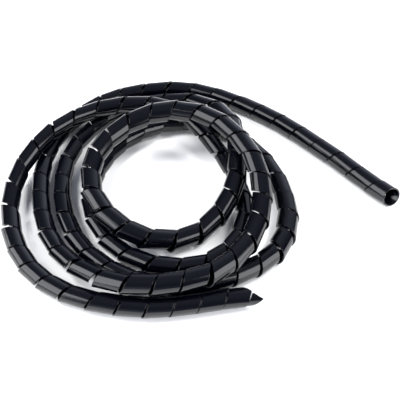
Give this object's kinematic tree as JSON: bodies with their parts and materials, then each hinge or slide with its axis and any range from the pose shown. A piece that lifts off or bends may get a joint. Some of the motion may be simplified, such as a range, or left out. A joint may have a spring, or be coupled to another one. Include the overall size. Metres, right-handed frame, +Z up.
{
  "type": "spiral cable wrap",
  "caption": "Flexible plastic tube cut by a helical slit, lying in loose coils, that wraps round a bundle of cables.",
  "frame": {"origin": "middle of the coils' box, on the floor that they lie on", "axes": "+Z up from the floor; +X along the straight end of the wrap, towards its open mouth"},
  "size_m": [0.1906, 0.1888, 0.0356],
  "materials": {
    "black_plastic": "smooth glossy black polyethylene with fine lines along the tube"
  },
  "bodies": {
    "root": {"spiral_wrap": "black_plastic"}
  },
  "joints": []
}
